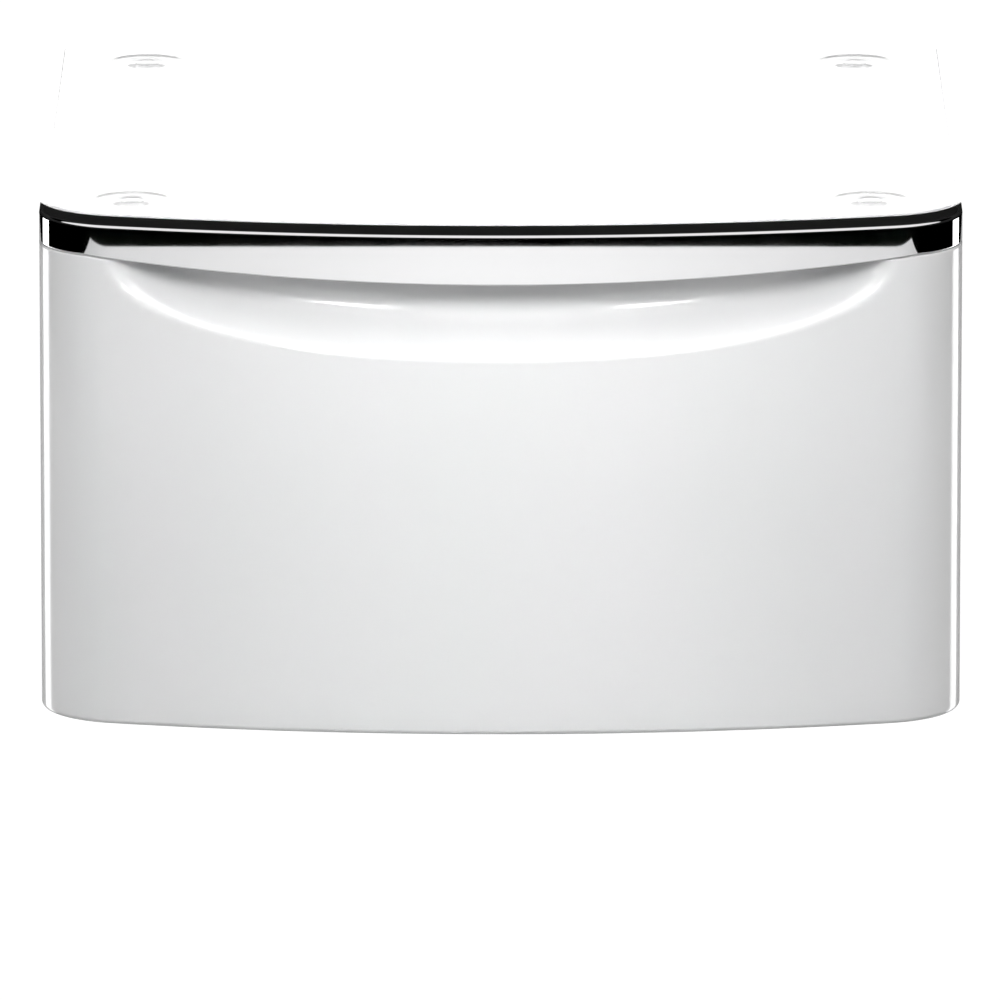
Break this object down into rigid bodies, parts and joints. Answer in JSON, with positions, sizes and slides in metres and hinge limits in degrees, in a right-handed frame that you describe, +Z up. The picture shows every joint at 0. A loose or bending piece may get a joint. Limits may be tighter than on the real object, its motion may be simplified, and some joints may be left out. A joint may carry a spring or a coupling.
{
  "type": "laundry pedestal",
  "caption": "Laundry pedestal for a front load washer: bow-fronted storage drawer on ball slides, chrome handle bar over a finger dish, deck on top and screw feet.",
  "frame": {"origin": "on the floor, at the middle of the overall width and depth", "axes": "+Z up, -Y out of the drawer front, +X to the right as seen from the front"},
  "size_m": [0.686, 0.735, 0.394],
  "materials": {
    "white_enamel": "gloss white baked enamel",
    "chrome_plate": "bright chrome plate",
    "black_inlay": "satin black moulding with a fine texture",
    "galvanised_steel": "galvanised sheet, satin",
    "zinc_plate": "bright zinc plate",
    "black_rubber": "moulded black rubber",
    "grey_plastic": "textured grey moulding",
    "black_plastic": "moulded black"
  },
  "bodies": {
    "cabinet": {"deck_panel": "white_enamel", "left_side_panel": "white_enamel", "right_side_panel": "white_enamel", "rear_panel": "white_enamel", "deck_crossmember": "galvanised_steel", "front_base_rail": "galvanised_steel", "rear_base_rail": "galvanised_steel", "left_base_rail": "galvanised_steel", "right_base_rail": "galvanised_steel", "slide_mount_left": "galvanised_steel", "slide_mount_right": "galvanised_steel", "slide_outer_left": "galvanised_steel", "slide_outer_right": "galvanised_steel", "drawer_bumper_left": "black_rubber", "drawer_bumper_right": "black_rubber", "rear_screw_lower_left": "zinc_plate", "rear_screw_upper_left": "zinc_plate", "rear_screw_lower_right": "zinc_plate", "rear_screw_upper_right": "zinc_plate", "foot_bracket_front_left": "galvanised_steel", "foot_bracket_front_right": "galvanised_steel", "foot_bracket_rear_left": "galvanised_steel", "foot_bracket_rear_right": "galvanised_steel", "foot_lock_nut_front_left": "zinc_plate", "foot_lock_nut_front_right": "zinc_plate", "foot_lock_nut_rear_left": "zinc_plate", "foot_lock_nut_rear_right": "zinc_plate"},
    "drawer": {"drawer_front": "white_enamel", "handle_bar": "chrome_plate", "handle_inlay": "black_inlay", "handle_bracket_left": "galvanised_steel", "handle_bracket_right": "galvanised_steel", "handle_screw_left": "zinc_plate", "handle_screw_right": "zinc_plate", "drawer_inner_front": "white_enamel", "drawer_top_cap": "white_enamel", "drawer_bottom": "white_enamel", "drawer_left_side": "white_enamel", "drawer_right_side": "white_enamel", "drawer_back": "white_enamel", "slide_inner_left": "galvanised_steel", "slide_inner_right": "galvanised_steel"},
    "divider": {"drawer_divider": "grey_plastic"},
    "slide_middle_left": {"slide_middle_left": "galvanised_steel"},
    "ball_cage_outer_left": {"ball_cage_outer_left": "galvanised_steel"},
    "ball_cage_inner_left": {"ball_cage_inner_left": "galvanised_steel"},
    "release_lever_left": {"release_lever_left": "black_plastic"},
    "slide_middle_right": {"slide_middle_right": "galvanised_steel"},
    "ball_cage_outer_right": {"ball_cage_outer_right": "galvanised_steel"},
    "ball_cage_inner_right": {"ball_cage_inner_right": "galvanised_steel"},
    "release_lever_right": {"release_lever_right": "black_plastic"},
    "foot_front_left": {"foot_stem_front_left": "zinc_plate", "foot_pad_front_left": "black_rubber"},
    "foot_front_right": {"foot_stem_front_right": "zinc_plate", "foot_pad_front_right": "black_rubber"},
    "foot_rear_left": {"foot_stem_rear_left": "zinc_plate", "foot_pad_rear_left": "black_rubber"},
    "foot_rear_right": {"foot_stem_rear_right": "zinc_plate", "foot_pad_rear_right": "black_rubber"}
  },
  "joints": [
    {"name": "drawer_slide", "type": "slide", "parent": "cabinet", "child": "drawer", "axis": [0, -1, 0], "range_m": [0, 0.46]},
    {"name": "divider_lift", "type": "slide", "parent": "drawer", "child": "divider", "axis": [0, 0, 1], "range_m": [0, 0.06]},
    {"name": "slide_middle_left_slide", "type": "slide", "parent": "cabinet", "child": "slide_middle_left", "axis": [0, -1, 0], "range_m": [0, 0.23]},
    {"name": "ball_cage_outer_left_slide", "type": "slide", "parent": "cabinet", "child": "ball_cage_outer_left", "axis": [0, -1, 0], "range_m": [0, 0.115]},
    {"name": "ball_cage_inner_left_slide", "type": "slide", "parent": "cabinet", "child": "ball_cage_inner_left", "axis": [0, -1, 0], "range_m": [0, 0.345]},
    {"name": "release_lever_left_pivot", "type": "hinge", "parent": "drawer", "child": "release_lever_left", "pos_m": [-0.3095, -0.12, 0.125], "axis": [1, 0, 0], "range_deg": [-8, 8], "stiffness_Nm_per_rad": 0.2},
    {"name": "slide_middle_right_slide", "type": "slide", "parent": "cabinet", "child": "slide_middle_right", "axis": [0, -1, 0], "range_m": [0, 0.23]},
    {"name": "ball_cage_outer_right_slide", "type": "slide", "parent": "cabinet", "child": "ball_cage_outer_right", "axis": [0, -1, 0], "range_m": [0, 0.115]},
    {"name": "ball_cage_inner_right_slide", "type": "slide", "parent": "cabinet", "child": "ball_cage_inner_right", "axis": [0, -1, 0], "range_m": [0, 0.345]},
    {"name": "release_lever_right_pivot", "type": "hinge", "parent": "drawer", "child": "release_lever_right", "pos_m": [0.3095, -0.12, 0.125], "axis": [1, 0, 0], "range_deg": [-8, 8], "stiffness_Nm_per_rad": 0.2},
    {"name": "foot_front_left_screw", "type": "slide", "parent": "cabinet", "child": "foot_front_left", "axis": [0, 0, -1], "range_m": [0, 0.02]},
    {"name": "foot_front_right_screw", "type": "slide", "parent": "cabinet", "child": "foot_front_right", "axis": [0, 0, -1], "range_m": [0, 0.02]},
    {"name": "foot_rear_left_screw", "type": "slide", "parent": "cabinet", "child": "foot_rear_left", "axis": [0, 0, -1], "range_m": [0, 0.02]},
    {"name": "foot_rear_right_screw", "type": "slide", "parent": "cabinet", "child": "foot_rear_right", "axis": [0, 0, -1], "range_m": [0, 0.02]}
  ],
  "couplings": [
    {"joint": "slide_middle_left_slide", "follows": "drawer_slide", "ratio": 0.5},
    {"joint": "ball_cage_outer_left_slide", "follows": "drawer_slide", "ratio": 0.25},
    {"joint": "ball_cage_inner_left_slide", "follows": "drawer_slide", "ratio": 0.75},
    {"joint": "slide_middle_right_slide", "follows": "drawer_slide", "ratio": 0.5},
    {"joint": "ball_cage_outer_right_slide", "follows": "drawer_slide", "ratio": 0.25},
    {"joint": "ball_cage_inner_right_slide", "follows": "drawer_slide", "ratio": 0.75}
  ]
}
